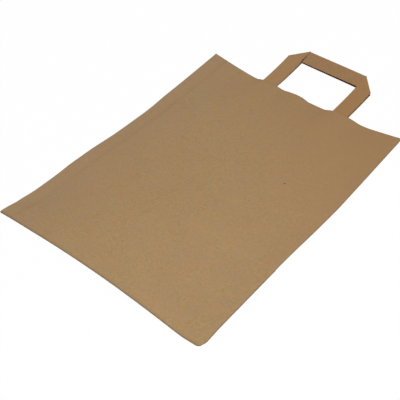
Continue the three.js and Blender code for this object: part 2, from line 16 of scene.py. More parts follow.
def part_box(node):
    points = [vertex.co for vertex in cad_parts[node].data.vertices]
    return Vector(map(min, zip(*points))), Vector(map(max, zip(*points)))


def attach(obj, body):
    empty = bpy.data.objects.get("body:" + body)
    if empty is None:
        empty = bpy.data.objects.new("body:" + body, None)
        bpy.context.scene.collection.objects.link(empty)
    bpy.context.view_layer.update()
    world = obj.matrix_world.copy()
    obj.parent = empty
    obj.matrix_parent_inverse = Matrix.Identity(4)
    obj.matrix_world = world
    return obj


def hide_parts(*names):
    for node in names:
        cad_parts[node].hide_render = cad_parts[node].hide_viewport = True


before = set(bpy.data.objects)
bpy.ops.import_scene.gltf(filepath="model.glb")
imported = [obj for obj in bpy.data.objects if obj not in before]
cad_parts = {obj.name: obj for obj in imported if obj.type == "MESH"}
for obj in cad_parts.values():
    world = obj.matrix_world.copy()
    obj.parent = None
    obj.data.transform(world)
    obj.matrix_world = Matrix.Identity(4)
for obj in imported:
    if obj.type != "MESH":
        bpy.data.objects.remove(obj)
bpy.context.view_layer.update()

# %% [markdown]
# The sizes of the real bag, in metres. Points on the bag are given as x across from its
# middle, y from the bottom fold towards the mouth, and z up from the table. The packed
# body's own box says where the mouth lies in the frame, and the bottom fold is the bag's
# height away from it. PITCH is the step from one layer of paper to the next, and NOSE is
# how far a round crease stands out.

# %% Sizes of the bag
MM = 0.001
PAPER = 0.12 * MM
PITCH = 0.15 * MM
WIDTH = 260 * MM
GUSSET_DEPTH = 110 * MM
HEIGHT = 350 * MM
BOTTOM_LAP = 20 * MM
SEAM_LAP = 17 * MM
NOSE = 0.22 * MM
SEAM_INSET = 0.6 * MM

body_low, body_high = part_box("bag_body")
MOUTH_Y = body_high.y
BOTTOM_Y = MOUTH_Y - HEIGHT
SIDE = WIDTH / 2 - NOSE
HALF_DEPTH = GUSSET_DEPTH / 2
GUSSET_EDGE = SIDE - HALF_DEPTH
FLAP_EDGE = GUSSET_EDGE - BOTTOM_LAP / 2
FRONT_FLAP_EDGE = GUSSET_DEPTH - (SIDE - FLAP_EDGE)
BACK_FLAP_EDGE = SIDE - FLAP_EDGE
print("bag width in the frame", round((body_high.x - body_low.x) / MM, 2), "mm")

# %% [markdown]
# Each handle is a flat tape of paper, glued up from several plies, and a patch holds its
# two legs inside the mouth. A few sizes are set by themselves here. What depends on them,
# such as where the legs lie and how high the stack in the mouth is, is worked out later.
# The handle's width, tape and reach are within 1 mm of the CAD model's, and fit the
# outline in the photograph a little better.

# %% Sizes of the handles and patches
HANDLE_WIDTH = 118.2 * MM
TAPE_WIDTH = 19.2 * MM
TAPE = 0.5 * MM
HANDLE_OFFSET = 1.4 * MM
HANDLE_REACH = 53 * MM
LEG_INSIDE = 44 * MM
FOLD_GAP = 0.1 * MM
PATCH_WIDTH = 142 * MM
PATCH_DEPTH = 50 * MM
PATCH_BELOW_MOUTH = 2 * MM
GLUE_LINE = 0.25 * MM
PATCH_SPACE = 0.3 * MM
HANDLE_TOP = HEIGHT + HANDLE_REACH + TAPE_WIDTH
print("bag and handles are", round(HANDLE_TOP / MM, 1), "mm long")

# %% [markdown]
# The camera comes first, because every later choice is judged through it. The bag's four
# corners in the photograph fix it: a short telephoto lens, looking down at 44 degrees
# from beyond the near right corner of the bag.

# %% Camera
LENS = 71.2
SENSOR = 36.0
PITCH_DOWN = math.radians(44.35)
TURN = math.radians(39.29)
ROLL = math.radians(-0.28)
DISTANCE = 813.5 * MM
LOOK_AT = Vector((12.5 * MM, BOTTOM_Y + 142.6 * MM, 0))

camera_data = bpy.data.cameras.new("camera")
camera_data.lens = LENS
camera_data.sensor_width = SENSOR
camera = bpy.data.objects.new("camera", camera_data)
bpy.context.scene.collection.objects.link(camera)
forward = Vector((-math.sin(TURN) * math.cos(PITCH_DOWN),
                  math.cos(TURN) * math.cos(PITCH_DOWN), -math.sin(PITCH_DOWN)))
turned = forward.to_track_quat("-Z", "Y").to_matrix().to_4x4()
camera.matrix_world = (Matrix.Translation(LOOK_AT - forward * DISTANCE)
                       @ turned @ Matrix.Rotation(ROLL, 4, "Z"))
bpy.context.scene.camera = camera
print("camera at", tuple(round(value, 3) for value in camera.matrix_world.translation))

# %% [markdown]
# Paper that has been folded and stacked never lies quite flat. Its corners curl up, the
# thick folded bottom arches, and the loose mouth waves over the handles. A few smooth
# humps, each with a height and a reach, are enough for this, and they are easy to match
# with the outline in the photograph one at a time. Every layer follows the same humps,
# so that no layer cuts through its neighbour.

# %% Smooth humps
def smooth(share):
    """Eases from 0 to 1 as share goes from 0 to 1."""
    share = min(1.0, max(0.0, share))
    return share * share * (3 - 2 * share)


def dome(offset, reach):
    """A round hump, 1 at the middle and 0 at its reach."""
    return max(0.0, 1 - (offset / reach) ** 2)


Curl = namedtuple("Curl", "height across along power")


def curled(curl, across, along):
    """Height of a curled corner, at a distance across and along from its tip."""
    near = max(0.0, 1 - across / curl.across - along / curl.along)
    return curl.height * near ** curl.power


print("halfway up a smooth step", smooth(0.5), "and at half a dome's reach", dome(0.5, 1))

# %% [markdown]
# The thick folded bottom is stiff and stands up in one arch, a little left of the middle.
# Beyond it the bag has fewer layers, so it settles down on the table, and all four
# corners curl up. A cloth simulation could find a lie like this, but not one with each
# curl where the photograph has it, so every hump is set by itself.

# %% How the bag lies
FRONT_LAYER = 8
BACK_LAYER = 11
SETTLE_LENGTH = 68 * MM
ARCH_HEIGHT = 10.3 * MM
ARCH_MIDDLE = -17 * MM
ARCH_REACH = 126 * MM
ARCH_NARROWS = 31 * MM
ARCH_NARROW_RUN = 45 * MM
ARCH_RUN = 172 * MM
LEFT_MOUTH_CURL = Curl(9.3 * MM, 62 * MM, 130 * MM, 1.3)
RIGHT_MOUTH_CURL = Curl(7.7 * MM, 50 * MM, 132 * MM, 1.1)
LEFT_FOLD_CURL = Curl(1.9 * MM, 48 * MM, 44 * MM, 1)
RIGHT_FOLD_CURL = Curl(0.6 * MM, 26 * MM, 34 * MM, 1)
RIPPLE = 0.22 * MM
RIPPLE_LENGTH = 55 * MM
RIPPLE_STRETCH = 0.7


def arch(x, y):
    """The folded bottom stands up in an arch that narrows and sinks towards the mouth."""
    reach = ARCH_REACH - ARCH_NARROWS * smooth(y / ARCH_NARROW_RUN)
    return ARCH_HEIGHT * dome(x - ARCH_MIDDLE, reach) * (1 - smooth(y / ARCH_RUN))


SPRING_HEIGHT = 3.9 * MM
SPRING_REACH = 38 * MM
SPRING_POWER = 1.5
SPRING_AT_FOLD = 0.45
SPRING_GROWS = 28 * MM
SPRING_FADES_FROM = 118 * MM
SPRING_FADES = 110 * MM


def right_side(x, y):
    """The right edge of the folded bottom springs up a little along its whole length."""
    from_edge = max(0.0, 1 - (SIDE - x) / SPRING_REACH)
    growing = SPRING_AT_FOLD + (1 - SPRING_AT_FOLD) * smooth(y / SPRING_GROWS)
    fading = 1 - smooth((y - SPRING_FADES_FROM) / SPRING_FADES)
    return SPRING_HEIGHT * from_edge ** SPRING_POWER * growing * fading


def lie(x, y):
    """Height of the table side of the bag."""
    from_mouth = max(0.0, HEIGHT - y)
    from_fold = max(0.0, y)
    left, right = x + SIDE, SIDE - x
    corners = (curled(LEFT_MOUTH_CURL, left, from_mouth)
               + curled(RIGHT_MOUTH_CURL, right, from_mouth)
               + curled(LEFT_FOLD_CURL, left, from_fold)
               + curled(RIGHT_FOLD_CURL, right, from_fold))
    settled = smooth((y - GUSSET_DEPTH) / SETTLE_LENGTH) * FRONT_LAYER * PITCH
    ripple = RIPPLE * noise.noise(Vector((x, y * RIPPLE_STRETCH, 0)) / RIPPLE_LENGTH)
    return corners + arch(x, y) + right_side(x, y) - settled + max(0.0, ripple)


print("bag is", round(lie(ARCH_MIDDLE, 0) / MM, 1), "mm off the table under the arch")

# %% [markdown]
# Inside the mouth the handles' legs and their patches lift the back panel. Between and
# beside the legs there is nothing to hold it up, so it sinks back, and its edge waves.
# The height of the stack comes from the pieces in it, and the photograph gives the places
# of the waves.

# %% How the mouth waves over the handles
LEG_MIDDLE = (HANDLE_WIDTH - TAPE_WIDTH) / 2
LEG_PLACES = (HANDLE_OFFSET - LEG_MIDDLE, HANDLE_OFFSET + LEG_MIDDLE)
STACK_HEIGHT = 4 * GLUE_LINE + 2 * TAPE + 2 * PAPER + PATCH_SPACE
STACK_PUSH = STACK_HEIGHT - ((BACK_LAYER - FRONT_LAYER) * PITCH - PAPER)
LOWER_PATCH_SINKS = 0.96 * MM
UPPER_PATCH_SINKS = 1.24 * MM
LEFT_SLOPE, MIDDLE_SLOPE, RIGHT_SLOPE = 9 * MM, 15 * MM, 34 * MM
WAVE_PLACE = -13 * MM
WAVE_REACH_LEFT, WAVE_REACH_RIGHT = 15 * MM, 20 * MM
SUNK_RUN = 46 * MM


def over_legs(x):
    """1 over a leg, and 0 where the paper has sunk beside it."""
    left_leg, right_leg = LEG_PLACES
    if x < left_leg:
        slope = LEFT_SLOPE
    elif x < right_leg:
        slope = MIDDLE_SLOPE
    else:
        slope = RIGHT_SLOPE
    from_leg = min(abs(x - left_leg), abs(x - right_leg))
    from_wave = x - WAVE_PLACE
    wave = dome(from_wave, WAVE_REACH_LEFT if from_wave < 0 else WAVE_REACH_RIGHT)
    return max(1 - smooth((from_leg - TAPE_WIDTH / 2) / slope), wave)


def sunk(x, y):
    """How far the layers have sunk between the legs, as a share."""
    return (1 - over_legs(x)) * smooth(1 - (HEIGHT - y) / SUNK_RUN)


print("handles and patches are a stack of", round(STACK_HEIGHT / MM, 2), "mm")

# %% [markdown]
# Three smaller forms finish the mouth. Its edge is drawn in where it sinks between the
# legs, the right leg stands higher than the left one, and one crest rises between them.

# %% The smaller forms of the mouth
VALLEY_PLACE = 24 * MM
VALLEY_REACH = 21 * MM
VALLEY_RUN = 25 * MM
VALLEY_DRAWN_IN = 2.0 * MM
LEG_BULGE = 1.7 * MM
LEG_BULGE_REACH = 24 * MM
LEG_BULGE_INSIDE = 70 * MM
LEG_BULGE_BEYOND = 60 * MM
CREST_HEIGHT = 0.8 * MM
CREST_PLACE = -3 * MM
CREST_REACH = 11 * MM
CREST_RUN = 40 * MM
PUSH_FADES = 80 * MM


def drawn_in(x, y):
    """The mouth's edge is drawn in a little where it has sunk between the legs."""
    along = smooth(1 - (HEIGHT - y) / VALLEY_RUN)
    return VALLEY_DRAWN_IN * smooth(dome(x - VALLEY_PLACE, VALLEY_REACH)) * along


def right_leg_bulge(x, y):
    """The right leg stands higher than the left one, most of all at the mouth."""
    inside = 1 - smooth((HEIGHT - y) / LEG_BULGE_INSIDE)
    beyond = 1 - smooth((y - HEIGHT) / LEG_BULGE_BEYOND)
    return LEG_BULGE * dome(x - LEG_PLACES[1], LEG_BULGE_REACH) * inside * beyond


def crest(x, y):
    """The wave between the legs stands a little higher at the mouth's edge."""
    inside = smooth(1 - (HEIGHT - y) / CREST_RUN)
    return CREST_HEIGHT * smooth(dome(x - CREST_PLACE, CREST_REACH)) * inside


def push(x, y):
    """How far the handles and patches push the back panel up."""
    along = 1 - smooth((HEIGHT - LEG_INSIDE - y) / PUSH_FADES)
    side = 1 - smooth((abs(x) - PATCH_WIDTH / 2) / (SIDE - PATCH_WIDTH / 2))
    bulges = right_leg_bulge(x, y) + crest(x, y)
    return STACK_PUSH * along * side * (1 - sunk(x, y)) + bulges


print("mouth is pushed up", [round(push(place, HEIGHT) / MM, 2) for place in LEG_PLACES],
      "mm over the legs")

# %% [markdown]
# Beyond the mouth the tapes are free and spring up from the table. Both handles rise in
# the same way, each by its own height, and lean a little to one side.

# %% How the handles rise
STRAIGHT_RISE = 0.4
LEAN = -0.012


def rise(x, y, left_lift, right_lift):
    """Height that a handle gains beyond the mouth, at its left and right corners."""
    share = min(1.0, max(0.0, (y - HEIGHT) / (HANDLE_TOP - HEIGHT)))
    across = 0.5 + (x - HANDLE_OFFSET) / HANDLE_WIDTH
    lift = left_lift + (right_lift - left_lift) * across
    return lift * (STRAIGHT_RISE * share + (1 - STRAIGHT_RISE) * share * share)


def skew(x, y):
    """The handles lean a little, so their left corner reaches farther than the right."""
    share = max(0.0, (y - HEIGHT) / (HANDLE_TOP - HEIGHT))
    return LEAN * (x - HANDLE_OFFSET) * share


# %% [markdown]
# Handling has left its marks on the outline. The near corner of the bag has been pressed
# round, so each point close to it is drawn in from a box to an oval about the same
# middle. The left edge bows in at two places. Moving the points keeps the creases whole,
# where a boolean cut would open them.

# %% The pressed corner and the bowed edge
Bow = namedtuple("Bow", "middle reach depth")

CORNER_ACROSS = 6 * MM
CORNER_UP = 9 * MM
LEFT_BOWS = (Bow(60 * MM, 36 * MM, 1.1 * MM), Bow(192 * MM, 62 * MM, 1.3 * MM))
BOWS_FROM_MIDDLE = 50 * MM
BOWS_GROW = 70 * MM


def bowed(x, y):
    """The left edge bows in a little at two places along it."""
    near = smooth((-x - BOWS_FROM_MIDDLE) / BOWS_GROW)
    return x + near * sum(bow.depth * smooth(dome(y - bow.middle, bow.reach))
                          for bow in LEFT_BOWS)


def pressed(x, y):
    """The place of a point after the near corner has been pressed round."""
    x = bowed(x, y)
    u = (x - (SIDE - CORNER_ACROSS)) / CORNER_ACROSS
    v = (CORNER_UP - y) / CORNER_UP
    if u <= 0 or v <= 0:
        return x, y
    shrink = max(u, v) / math.hypot(u, v)
    return x + u * (shrink - 1) * CORNER_ACROSS, y - v * (shrink - 1) * CORNER_UP


tip = pressed(SIDE, 0)
print("near corner is drawn in", round((SIDE - tip[0]) / MM, 2), "mm across")

# %% [markdown]
# A folded sheet is easiest to build as a strip model: each flat panel is a face at the
# height of its layer, and each crease is a narrow bridge between two panel edges.
# A crease states no line of its own. It lies where its two panels share one, so a change
# of one size moves both panels and the crease between them.

# %% Find the line of a crease
SAME_PLACE = 0.01 * MM


def rectangle(x0, y0, x1, y1):
    """The four corners of a rectangle, from its lowest and highest x and y."""
    return [(x0, y0), (x1, y0), (x1, y1), (x0, y1)]


def same(first, second):
    """Whether two flat points are in one place."""
    return math.dist(first, second) < SAME_PLACE


def same_line(line, other):
    """Whether two lines run between the same two points, in either direction."""
    return any(same(line[0], start) and same(line[1], end)
               for start, end in (other, other[::-1]))


def edge_between(face_edges, line):
    """The edge of a panel that runs along a line, seen from above."""
    return next(edge for edge in face_edges
                if same_line(line, [vert.co.xy for vert in edge.verts]))


def shared_line(first, second, open_y):
    """The line that two outlines share, apart from one on the cut mouth."""
    for line in zip(first, first[1:] + first[:1]):
        on_mouth = all(abs(corner[1] - open_y) < SAME_PLACE for corner in line)
        others = zip(second, second[1:] + second[:1])
        if not on_mouth and any(same_line(line, other) for other in others):
            return line
    raise ValueError("these panels share no edge")


print("corners closer than", SAME_PLACE / MM, "mm count as one")

# %% [markdown]
# The bridge of a crease is split and pushed outwards, so that the fold is round. A tall
# crease goes round several layers, and its two middle lines stay close to its panels.

# %% Build a folded sheet
SHOULDER = 0.35 * PITCH


def folded_sheet(panels, creases, open_y):
    """A bmesh of flat panels joined by creases. panels: name to (corners, height)."""
    sheet = bmesh.new()
    edges = {}
    for name, (corners, height) in panels.items():
        verts = [sheet.verts.new((x, y, height)) for x, y in corners]
        made = bmesh.ops.contextual_create(sheet, geom=verts)
        edges[name] = list(made["faces"][0].edges)
    for upper, lower, bulge in creases:
        start, end = shared_line(panels[upper][0], panels[lower][0], open_y)
        outward = Vector((end[1] - start[1], start[0] - end[0], 0)).normalized()
        pair = [edge_between(edges[name], (start, end)) for name in (upper, lower)]
        made = bmesh.ops.bridge_loops(sheet, edges=pair)
        ties = [edge for edge in made["edges"] if edge not in pair]
        cuts = 2 if bulge > NOSE else 1
        split = bmesh.ops.subdivide_edges(sheet, edges=ties, cuts=cuts)
        middle = [part for part in split["geom_inner"] if isinstance(part, bmesh.types.BMVert)]
        bmesh.ops.translate(sheet, verts=middle, vec=outward * bulge)
        if cuts == 2:
            flatten_bend(middle, panels[upper][1], panels[lower][1])
    bmesh.ops.recalc_face_normals(sheet, faces=sheet.faces[:])
    return sheet


def flatten_bend(verts, upper, lower):
    """Moves a tall crease's two middle lines close to its panels."""
    centre = (upper + lower) / 2
    for vert in verts:
        vert.co.z = upper - SHOULDER if vert.co.z > centre else lower + SHOULDER


print("shoulders of a tall crease are", round(SHOULDER / MM, 3), "mm from its panels")

# %% [markdown]
# A panel of one face can't bend, so the sheet is cut into small cells. Cutting along
# straight lines with bisect_plane keeps every layer's cells in step with the layers above
# and below, so the bends match. Subdividing each face by itself would not do that.

# %% Cut a sheet into cells
CELL = 5 * MM
CUT_SNAP = 0.0001 * MM
CORNER_CUTS = (0.15, 0.3, 0.45, 0.6, 0.75, 0.9)


def cut_at(sheet, axis, place):
    """Cuts the sheet along one line of x (axis 0) or of y (axis 1)."""
    normal = Vector((1, 0, 0)) if axis == 0 else Vector((0, 1, 0))
    bmesh.ops.bisect_plane(sheet, geom=sheet.verts[:] + sheet.edges[:] + sheet.faces[:],
                           dist=CUT_SNAP, plane_co=normal * place, plane_no=normal)


def cut_into_cells(sheet, low, high):
    """Cuts the sheet along lines of x and y, a cell apart, between two corners."""
    for axis in (0, 1):
        count = max(1, round((high[axis] - low[axis]) / CELL))
        for step in range(1, count):
            cut_at(sheet, axis, low[axis] + (high[axis] - low[axis]) * step / count)


def cut_corner(sheet):
    """Cuts finer strips beside the near corner, so that it can be pressed round."""
    for share in CORNER_CUTS:
        cut_at(sheet, 0, SIDE - CORNER_ACROSS * share)
        cut_at(sheet, 1, CORNER_UP * share)


print("a bag panel has", round(2 * SIDE / CELL), "by", round(HEIGHT / CELL), "cells")

# %% [markdown]
# The bent sheet gets its thickness last, from a Solidify modifier that is applied at once,
# half of it to each side. Faces that meet at more than the sharp angle keep a crisp edge,
# and the rest is shaded smooth, so that cells of 5 mm are enough.

# %% Thicken a sheet
SHARP_ANGLE = math.radians(35)


def finished(sheet, name, thickness):
    """Thickens a bent sheet, turns its faces outwards and makes it an object."""
    mesh = bpy.data.meshes.new(name)
    sheet.to_mesh(mesh)
    sheet.free()
    thin = bpy.data.objects.new(name, mesh)
    bpy.context.scene.collection.objects.link(thin)
    solidify = thin.modifiers.new("paper thickness", "SOLIDIFY")
    solidify.thickness = thickness
    solidify.offset = 0
    solidify.use_even_offset = True
    solidify.use_rim = True
    graph = bpy.context.evaluated_depsgraph_get()
    solid = bpy.data.meshes.new_from_object(thin.evaluated_get(graph))
    thin.modifiers.clear()
    thin.data = solid
    solid.name = name
    bpy.data.meshes.remove(mesh)
    whole = bmesh.new()
    whole.from_mesh(solid)
    volume = whole.calc_volume(signed=True)
    if volume < 0:
        bmesh.ops.reverse_faces(whole, faces=whole.faces[:])
        whole.to_mesh(solid)
    whole.free()
    solid.shade_smooth()
    solid.set_sharp_from_angle(angle=SHARP_ANGLE)
    print(name, len(solid.polygons), "faces", round(abs(volume) * 1e6, 2), "cm3")
    return thin


def to_frame(sheet):
    """Moves a sheet from the bag's own lengths to its place in the frame."""
    bmesh.ops.translate(sheet, verts=sheet.verts[:], vec=(0, BOTTOM_Y, 0))


# %% [markdown]
# The bag itself. A tube of paper has a back and a front panel with a gusset sunk between
# them on each side. Its lower end is opened, pressed into a rectangle, closed by two
# flaps glued one on the other, and turned up under the front panel. That gives twelve
# layers in the bottom and four beyond it, in the order that the numbers below state.
# A plain slab would look alike from far away, but the layers show at every edge, and one
# folded sheet is how the real bag is made.

# %% The bag's panels
LAYERS = {
    "back_flap": 0, "back_triangle": 1, "front_flap": 2, "front_triangle": 3,
    "side_flap": 4, "middle_triangle": 5, "corner_triangle": 6, "front_foot": 7,
    "front": FRONT_LAYER, "lower_gusset": 9, "upper_gusset": 10, "back": BACK_LAYER,
}


def layered(corners, layer):
    """A panel's corners with the height of its layer's middle."""
    return corners, LAYERS[layer] * PITCH + PAPER / 2


def gusset_panels(side):
    """The panels of one gusset and its share of the bottom. side is 1 or -1."""
    outlines = {
        "upper_gusset": [(GUSSET_EDGE, HALF_DEPTH), (SIDE, 0), (SIDE, HEIGHT),
                         (GUSSET_EDGE, HEIGHT)],
        "lower_gusset": [(GUSSET_EDGE, HALF_DEPTH), (SIDE, HALF_DEPTH), (SIDE, HEIGHT),
                         (GUSSET_EDGE, HEIGHT)],
        "corner_triangle": [(GUSSET_EDGE, HALF_DEPTH), (SIDE, HALF_DEPTH),
                            (SIDE, GUSSET_DEPTH)],
        "middle_triangle": [(GUSSET_EDGE, HALF_DEPTH), (SIDE, 0), (SIDE, GUSSET_DEPTH)],
        "side_flap": rectangle(FLAP_EDGE, 0, SIDE, GUSSET_DEPTH),
        "front_triangle": [(FLAP_EDGE, FRONT_FLAP_EDGE), (SIDE, GUSSET_DEPTH),
                           (FLAP_EDGE, GUSSET_DEPTH)],
        "back_triangle": [(FLAP_EDGE, 0), (SIDE, 0), (FLAP_EDGE, BACK_FLAP_EDGE)],
    }
    panels = {}
    for name, outline in outlines.items():
        corners = [(side * x, y) for x, y in outline]
        panels[f"{name} {side}"] = layered(corners[::side], name)
    return panels


def gusset_creases(side):
    """The creases of one gusset, each with two panels and how far it bulges."""
    inner, outer = 2 * PITCH, 3 * PITCH
    pairs = [
        ("back", "upper_gusset", NOSE), ("upper_gusset", "lower_gusset", NOSE),
        ("lower_gusset", "front", NOSE), ("front_foot", "corner_triangle", NOSE),
        ("lower_gusset", "corner_triangle", inner),
        ("corner_triangle", "middle_triangle", NOSE),
        ("upper_gusset", "middle_triangle", outer), ("middle_triangle", "side_flap", NOSE),
        ("side_flap", "front_triangle", NOSE), ("side_flap", "back_triangle", inner),
        ("front_triangle", "front_flap", NOSE), ("back_triangle", "back_flap", NOSE),
    ]
    whole = ("back", "front", "front_foot", "front_flap", "back_flap")

    def own(name):
        """The name of this side's panel, or of a panel that both sides share."""
        return name if name in whole else f"{name} {side}"

    return [(own(upper), own(lower), bulge) for upper, lower, bulge in pairs]


print("a gusset has", len(gusset_panels(1)), "panels and", len(gusset_creases(1)), "creases")

# %% [markdown]
# The wide panels join the two gussets into one sheet. The strip of the glued side seam
# lies on the back panel, and its paper edge is the faint line along the left side.

# %% The whole sheet
SEAM_GAP = 0.006 * MM
SEAM_HEIGHT = BACK_LAYER * PITCH + PAPER + SEAM_GAP + PAPER / 2

panels = {
    "back": layered(rectangle(-SIDE, 0, SIDE, HEIGHT), "back"),
    "front": layered(rectangle(-SIDE, HALF_DEPTH, SIDE, HEIGHT), "front"),
    "front_foot": layered(rectangle(-SIDE, HALF_DEPTH, SIDE, GUSSET_DEPTH), "front_foot"),
    "front_flap": layered([(-FLAP_EDGE, FRONT_FLAP_EDGE), (FLAP_EDGE, FRONT_FLAP_EDGE),
                           (SIDE, GUSSET_DEPTH), (-SIDE, GUSSET_DEPTH)], "front_flap"),
    "back_flap": layered([(-SIDE, 0), (SIDE, 0), (FLAP_EDGE, BACK_FLAP_EDGE),
                          (-FLAP_EDGE, BACK_FLAP_EDGE)], "back_flap"),
    **gusset_panels(1), **gusset_panels(-1),
}
creases = [
    ("front", "front_foot", NOSE), ("front_foot", "front_flap", 3 * PITCH),
    ("back", "back_flap", 4 * PITCH), *gusset_creases(1), *gusset_creases(-1),
]
seam_strip = rectangle(-SIDE + SEAM_INSET, SEAM_INSET, -SIDE + SEAM_LAP, HEIGHT - SEAM_INSET)
panels["side_seam"] = (seam_strip, SEAM_HEIGHT)
paper = folded_sheet(panels, creases, HEIGHT)
print("bag sheet has", len(panels), "panels and", len(creases), "creases")

# %% [markdown]
# The flat layers are laid down along the humps and pressed at the near corner, and the
# back panel rises over the legs as well. A lattice or shape keys could bend them too, but
# a function of x and y bends all the layers alike, so none cuts through the next. What
# starts a quarter of a layer below the back panel or higher is moved as the back panel.

# %% Bend the bag
BACK_MARGIN = 0.25
BACK_STARTS = (BACK_LAYER - BACK_MARGIN) * PITCH
cut_into_cells(paper, (-SIDE, 0), (SIDE, HEIGHT))
cut_corner(paper)
for vert in paper.verts:
    x, y, z = vert.co
    in_back = z > BACK_STARTS
    height = z + lie(x, y) + (push(x, y) if in_back else 0)
    x, y = pressed(x, y - drawn_in(x, y) if in_back else y)
    vert.co = (x, y, height)
to_frame(paper)
bag_paper = finished(paper, "bag_paper", PAPER)
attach(bag_paper, "root")
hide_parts("bag_body")

# %% [markdown]
# Each handle is one flat tape, already glued up from several plies. It is turned over at
# 45 degrees at each corner, so the leg lies over the bar on the upper handle and under it
# on the lower one. Both legs go down inside the mouth. A curve with a flat profile would
# twist at the corners, so the handle is folded from three panels, as the bag is. Its
# turns are not quite even: the right one slipped, and so did the top of the left one.

# %% The handles' panels
RIGHT_TURN_SLIP = 2 * MM
LEFT_TOP_SLIP = 1 * MM
TURN_BULGE = 1.5 * NOSE


def handle_sheet(leg_height, bar_height):
    """A bmesh of one flat handle: two legs and the bar across them."""
    outer = HANDLE_WIDTH / 2
    inner = outer - TAPE_WIDTH
    bar_edge = HEIGHT + HANDLE_REACH
    right_turn = bar_edge - RIGHT_TURN_SLIP
    leg_end = HEIGHT - LEG_INSIDE

    def leg(side):
        """The corners of one leg. side is 1 for the right one and -1 for the left."""
        turn = right_turn if side == 1 else bar_edge
        top = inner if side == 1 else inner - LEFT_TOP_SLIP
        corners = [(inner, leg_end), (outer, leg_end), (outer, turn), (top, HANDLE_TOP)]
        return [(side * x + HANDLE_OFFSET, y) for x, y in corners][::side]

    bar = [(-outer, bar_edge), (inner, bar_edge), (outer, right_turn), (inner, HANDLE_TOP),
           (LEFT_TOP_SLIP - inner, HANDLE_TOP)]
    panels = {
        "right leg": (leg(1), leg_height),
        "left leg": (leg(-1), leg_height),
        "bar": ([(x + HANDLE_OFFSET, y) for x, y in bar], bar_height),
    }
    turns = [("right leg", "bar", TURN_BULGE), ("left leg", "bar", TURN_BULGE)]
    if leg_height < bar_height:
        turns = [(lower, upper, bulge) for upper, lower, bulge in turns]
    return folded_sheet(panels, turns, HEIGHT)


print("a handle's legs are", round((HANDLE_WIDTH - 2 * TAPE_WIDTH) / MM, 1), "mm apart")

# %% [markdown]
# In the mouth the pieces lie one on the other: the lower leg on the front panel, its
# patch, the upper patch, and the upper leg under the back panel. Each height follows
# from the one below it. The two tapes are then bent along the same humps as the bag.

# %% The handles
LOWER_LEG = FRONT_LAYER * PITCH + PAPER + GLUE_LINE + TAPE / 2
LOWER_PATCH = LOWER_LEG + TAPE / 2 + GLUE_LINE + PAPER / 2
UPPER_PATCH = LOWER_PATCH + PAPER + PATCH_SPACE
UPPER_LEG = UPPER_PATCH + PAPER / 2 + GLUE_LINE + TAPE / 2
TURN_HEIGHT = TAPE + FOLD_GAP
LEFT_LEG_EDGE = LEG_PLACES[0] + TAPE_WIDTH / 2
OPEN_HEIGHT = 0.7 * MM
OPEN_REACH = 17 * MM
OPEN_POWER = 1.5
UPPER_LIFTS = (11.3 * MM, 10.6 * MM)
LOWER_LIFTS = (9.8 * MM, 6.9 * MM)
UPPER_BULGE, LOWER_BULGE = 1.0, 0.3


def open_corner(x, y):
    """The leg's inner edge stands a little off the bar at the left corner."""
    from_corner = math.hypot(x - LEFT_LEG_EDGE, y - HEIGHT - HANDLE_REACH)
    return OPEN_HEIGHT * max(0.0, 1 - from_corner / OPEN_REACH) ** OPEN_POWER


def handle(name, node, leg_height, bar_height, lifts, bulges):
    """One handle: lifts are for its left and right corner, bulges for its right leg."""
    tape = handle_sheet(leg_height, bar_height)
    outer = HANDLE_WIDTH / 2
    cut_into_cells(tape, (-outer, HEIGHT - LEG_INSIDE), (outer, HANDLE_TOP))
    for vert in tape.verts:
        x, y, z = vert.co
        above = z > bar_height + TURN_HEIGHT / 2
        height = z + lie(x, y) + rise(x, y, *lifts) + bulges * right_leg_bulge(x, y)
        vert.co = (x, y + skew(x, y), height + (open_corner(x, y) if above else 0))
    to_frame(tape)
    piece = finished(tape, name, TAPE)
    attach(piece, "root")
    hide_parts(node)
    return piece


upper_tape = handle("upper_tape", "upper_handle", UPPER_LEG, UPPER_LEG - TURN_HEIGHT,
                    UPPER_LIFTS, UPPER_BULGE)
lower_tape = handle("lower_tape", "lower_handle", LOWER_LEG, LOWER_LEG + TURN_HEIGHT,
                    LOWER_LIFTS, LOWER_BULGE)

# %% [markdown]
# A patch of the same paper is glued over each handle's legs. Both patches lie inside the
# mouth, where they show only from the handle end, so one flat panel each is enough. They
# sink between the legs with the panels that they lie between.

# %% The patches
def patch(name, node, height, sinks):
    """One patch: sinks says how far it goes down between the legs."""
    top = HEIGHT - PATCH_BELOW_MOUTH
    half = PATCH_WIDTH / 2
    sheet = folded_sheet({"patch": (rectangle(-half, top - PATCH_DEPTH, half, top), height)},
                         [], HEIGHT)
    cut_into_cells(sheet, (-half, top - PATCH_DEPTH), (half, top))
    for vert in sheet.verts:
        x, y, z = vert.co
        vert.co.z = z + lie(x, y) - sinks * sunk(x, y)
    to_frame(sheet)
    piece = finished(sheet, name, PAPER)
    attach(piece, "root")
    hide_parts(node)
    return piece


upper_patch = patch("upper_patch", "upper_handle_patch", UPPER_PATCH, UPPER_PATCH_SINKS)
lower_patch = patch("lower_patch", "lower_handle_patch", LOWER_PATCH, LOWER_PATCH_SINKS)

# %% [markdown]
# Kraft paper is brown, matt and faintly cloudy, with short fibres that lie mostly along
# the way it was made. Shader sums are easier to read as plain expressions, so a small
# class wraps a socket and lets it be added and multiplied.

